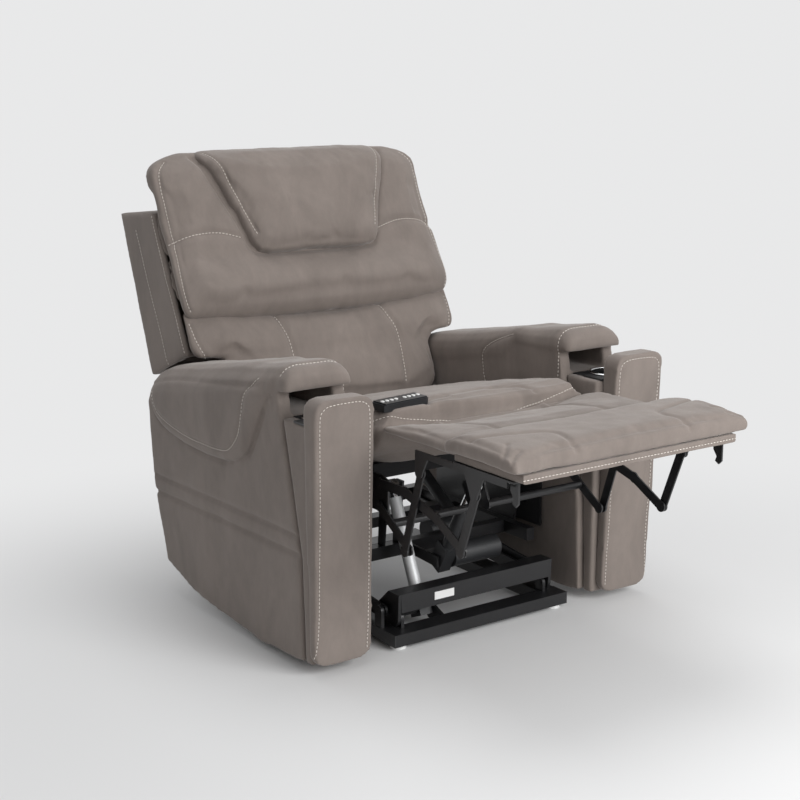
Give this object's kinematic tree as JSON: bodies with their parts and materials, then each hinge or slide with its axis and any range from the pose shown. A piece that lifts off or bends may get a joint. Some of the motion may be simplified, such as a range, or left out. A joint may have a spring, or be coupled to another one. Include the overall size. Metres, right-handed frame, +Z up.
{
  "type": "lift recliner chair",
  "caption": "Powered lift recliner armchair on a tilting carriage, with padded arms, back, headrest and a folding footrest on scissor-type links.",
  "frame": {"origin": "on the floor under the middle of the chair as it stands reclined with the footrest out", "axes": "+Z up, the chair faces -Y, the sitter's left is +X"},
  "size_m": [0.96, 1.479, 1.0389],
  "materials": {
    "steel": "satin",
    "fabric": "matte",
    "wood": "matte",
    "black_plastic": "matte",
    "chrome": "polished",
    "white_plastic": "matte",
    "alloy": "satin",
    "webbing": "matte",
    "handset_plastic": "gloss",
    "board": "matte"
  },
  "bodies": {
    "floor_base": {"base_frame": "steel", "base_end_caps": "black_plastic", "glides": "white_plastic"},
    "lift_arms": {"lift_arm_weldment": "steel", "rating_plate": "white_plastic"},
    "toggles": {"toggle_links": "steel"},
    "lift_motor": {"lift_motor": "alloy"},
    "lift_rod": {"lift_rod": "chrome"},
    "seat": {"carriage_frame": "steel", "side_plate_left": "steel", "side_plate_right": "steel", "seat_frame": "wood", "seat_webbing": "webbing", "seat_cushion": "fabric", "control_box": "black_plastic", "arm_frame_left": "wood", "arm_frame_right": "wood", "arm_body_left": "fabric", "arm_body_right": "fabric", "arm_cap_left": "fabric", "arm_cap_right": "fabric", "arm_neck_left": "fabric", "arm_neck_right": "fabric", "arm_post_left": "fabric", "arm_post_right": "fabric", "cup_trays": "black_plastic", "cup_rings": "chrome"},
    "footrest": {"footrest_board": "board", "footrest_pad": "fabric", "leg_pad": "fabric", "footrest_bracket_left": "steel", "footrest_bracket_right": "steel", "bracket_springs": "chrome"},
    "rear_lower_links": {"rear_lower_links": "steel"},
    "rear_upper_links": {"rear_upper_links": "steel"},
    "front_lower_links": {"front_lower_links": "steel"},
    "front_upper_links": {"front_upper_links": "steel"},
    "footrest_motor": {"footrest_motor": "steel"},
    "footrest_rod": {"footrest_rod": "chrome"},
    "backrest": {"back_frame": "wood", "back_hinge_plates": "steel", "back_shell": "fabric", "lumbar_cushion": "fabric", "shoulder_cushion": "fabric"},
    "headrest": {"head_frame": "steel", "head_cushion": "fabric"},
    "recline_motor": {"recline_motor": "steel"},
    "recline_rod": {"recline_rod": "chrome"},
    "handset": {"handset_case": "handset_plastic", "handset_face": "handset_plastic"},
    "button_1": {"button_1": "white_plastic"},
    "button_2": {"button_2": "white_plastic"},
    "button_3": {"button_3": "white_plastic"},
    "button_4": {"button_4": "white_plastic"},
    "button_5": {"button_5": "white_plastic"},
    "button_6": {"button_6": "white_plastic"},
    "button_7": {"button_7": "white_plastic"},
    "button_8": {"button_8": "white_plastic"}
  },
  "joints": [
    {"name": "lift", "type": "hinge", "parent": "floor_base", "child": "lift_arms", "pos_m": [0, -0.22, 0.058], "axis": [1, 0, 0], "range_deg": [0, 50]},
    {"name": "carriage_tilt", "type": "hinge", "parent": "lift_arms", "child": "seat", "pos_m": [0, 0.175, 0.086], "axis": [1, 0, 0], "range_deg": [-24.5, 0]},
    {"name": "toggle_swing", "type": "hinge", "parent": "floor_base", "child": "toggles", "pos_m": [0, -0.195, 0.074], "axis": [1, 0, 0], "range_deg": [0, 47]},
    {"name": "lift_motor_swing", "type": "hinge", "parent": "floor_base", "child": "lift_motor", "pos_m": [0, -0.155, 0.044], "axis": [1, 0, 0], "range_deg": [0, 40.21]},
    {"name": "lift_rod_slide", "type": "slide", "parent": "lift_motor", "child": "lift_rod", "axis": [0, 0.3948, 0.9188], "range_m": [0, 0.17224]},
    {"name": "footrest", "type": "hinge", "parent": "seat", "child": "footrest", "pos_m": [0, -0.294, 0.514], "axis": [1, 0, 0], "range_deg": [0, 90]},
    {"name": "rear_lower_swing", "type": "hinge", "parent": "seat", "child": "rear_lower_links", "pos_m": [0, -0.235, 0.33], "axis": [1, 0, 0], "range_deg": [0, 90.5]},
    {"name": "rear_upper_swing", "type": "hinge", "parent": "rear_lower_links", "child": "rear_upper_links", "pos_m": [0, -0.345, 0.26], "axis": [1, 0, 0], "range_deg": [-90.5, 0]},
    {"name": "front_lower_swing", "type": "hinge", "parent": "seat", "child": "front_lower_links", "pos_m": [0, -0.245, 0.383], "axis": [1, 0, 0], "range_deg": [0, 90.5]},
    {"name": "front_upper_swing", "type": "hinge", "parent": "front_lower_links", "child": "front_upper_links", "pos_m": [0, -0.536, 0.309], "axis": [1, 0, 0], "range_deg": [-90.5, 0]},
    {"name": "footrest_motor_swing", "type": "hinge", "parent": "seat", "child": "footrest_motor", "pos_m": [0, -0.145, 0.14], "axis": [1, 0, 0], "range_deg": [0, 5.15]},
    {"name": "footrest_rod_slide", "type": "slide", "parent": "footrest_motor", "child": "footrest_rod", "axis": [0, -0.4925, 0.8703], "range_m": [-0.04011, 0]},
    {"name": "recline", "type": "hinge", "parent": "seat", "child": "backrest", "pos_m": [0, 0.345, 0.43], "axis": [-1, 0, 0], "range_deg": [-14, 45]},
    {"name": "recline_motor_swing", "type": "hinge", "parent": "seat", "child": "recline_motor", "pos_m": [0, 0.02, 0.145], "axis": [-1, 0, 0], "range_deg": [-0.6, 0.82]},
    {"name": "recline_rod_slide", "type": "slide", "parent": "recline_motor", "child": "recline_rod", "axis": [0, 0.8372, 0.5469], "range_m": [-0.04917, 0.01599]},
    {"name": "headrest_tilt", "type": "hinge", "parent": "backrest", "child": "headrest", "pos_m": [0, 0.52517, 0.84502], "axis": [1, 0, 0], "range_deg": [0, 35]},
    {"name": "handset_lift_off", "type": "slide", "parent": "seat", "child": "handset", "axis": [0, 0, 1], "range_m": [0, 0.15]},
    {"name": "button_1_press", "type": "slide", "parent": "handset", "child": "button_1", "axis": [-0.0049, 0.0346, -0.9994], "range_m": [0, 0.001], "stiffness_N_per_m": 600},
    {"name": "button_2_press", "type": "slide", "parent": "handset", "child": "button_2", "axis": [-0.0049, 0.0346, -0.9994], "range_m": [0, 0.001], "stiffness_N_per_m": 600},
    {"name": "button_3_press", "type": "slide", "parent": "handset", "child": "button_3", "axis": [-0.0049, 0.0346, -0.9994], "range_m": [0, 0.001], "stiffness_N_per_m": 600},
    {"name": "button_4_press", "type": "slide", "parent": "handset", "child": "button_4", "axis": [-0.0049, 0.0346, -0.9994], "range_m": [0, 0.001], "stiffness_N_per_m": 600},
    {"name": "button_5_press", "type": "slide", "parent": "handset", "child": "button_5", "axis": [-0.0049, 0.0346, -0.9994], "range_m": [0, 0.001], "stiffness_N_per_m": 600},
    {"name": "button_6_press", "type": "slide", "parent": "handset", "child": "button_6", "axis": [-0.0049, 0.0346, -0.9994], "range_m": [0, 0.001], "stiffness_N_per_m": 600},
    {"name": "button_7_press", "type": "slide", "parent": "handset", "child": "button_7", "axis": [-0.0049, 0.0346, -0.9994], "range_m": [0, 0.001], "stiffness_N_per_m": 600},
    {"name": "button_8_press", "type": "slide", "parent": "handset", "child": "button_8", "axis": [-0.0049, 0.0346, -0.9994], "range_m": [0, 0.001], "stiffness_N_per_m": 600}
  ],
  "couplings": [
    {"joint": "carriage_tilt", "follows": "lift", "ratio": -0.48},
    {"joint": "toggle_swing", "follows": "lift", "ratio": 0.928},
    {"joint": "lift_motor_swing", "follows": "lift", "ratio": 0.79426},
    {"joint": "lift_rod_slide", "follows": "lift", "m_per_rad": 0.19623},
    {"joint": "rear_lower_swing", "follows": "footrest", "ratio": 1},
    {"joint": "rear_upper_swing", "follows": "footrest", "ratio": -1},
    {"joint": "front_lower_swing", "follows": "footrest", "ratio": 1},
    {"joint": "front_upper_swing", "follows": "footrest", "ratio": -1},
    {"joint": "footrest_motor_swing", "follows": "footrest", "ratio": 0.051683},
    {"joint": "footrest_rod_slide", "follows": "footrest", "m_per_rad": -0.024901},
    {"joint": "recline_motor_swing", "follows": "recline", "ratio": 0.007049},
    {"joint": "recline_rod_slide", "follows": "recline", "m_per_rad": -0.061335}
  ]
}
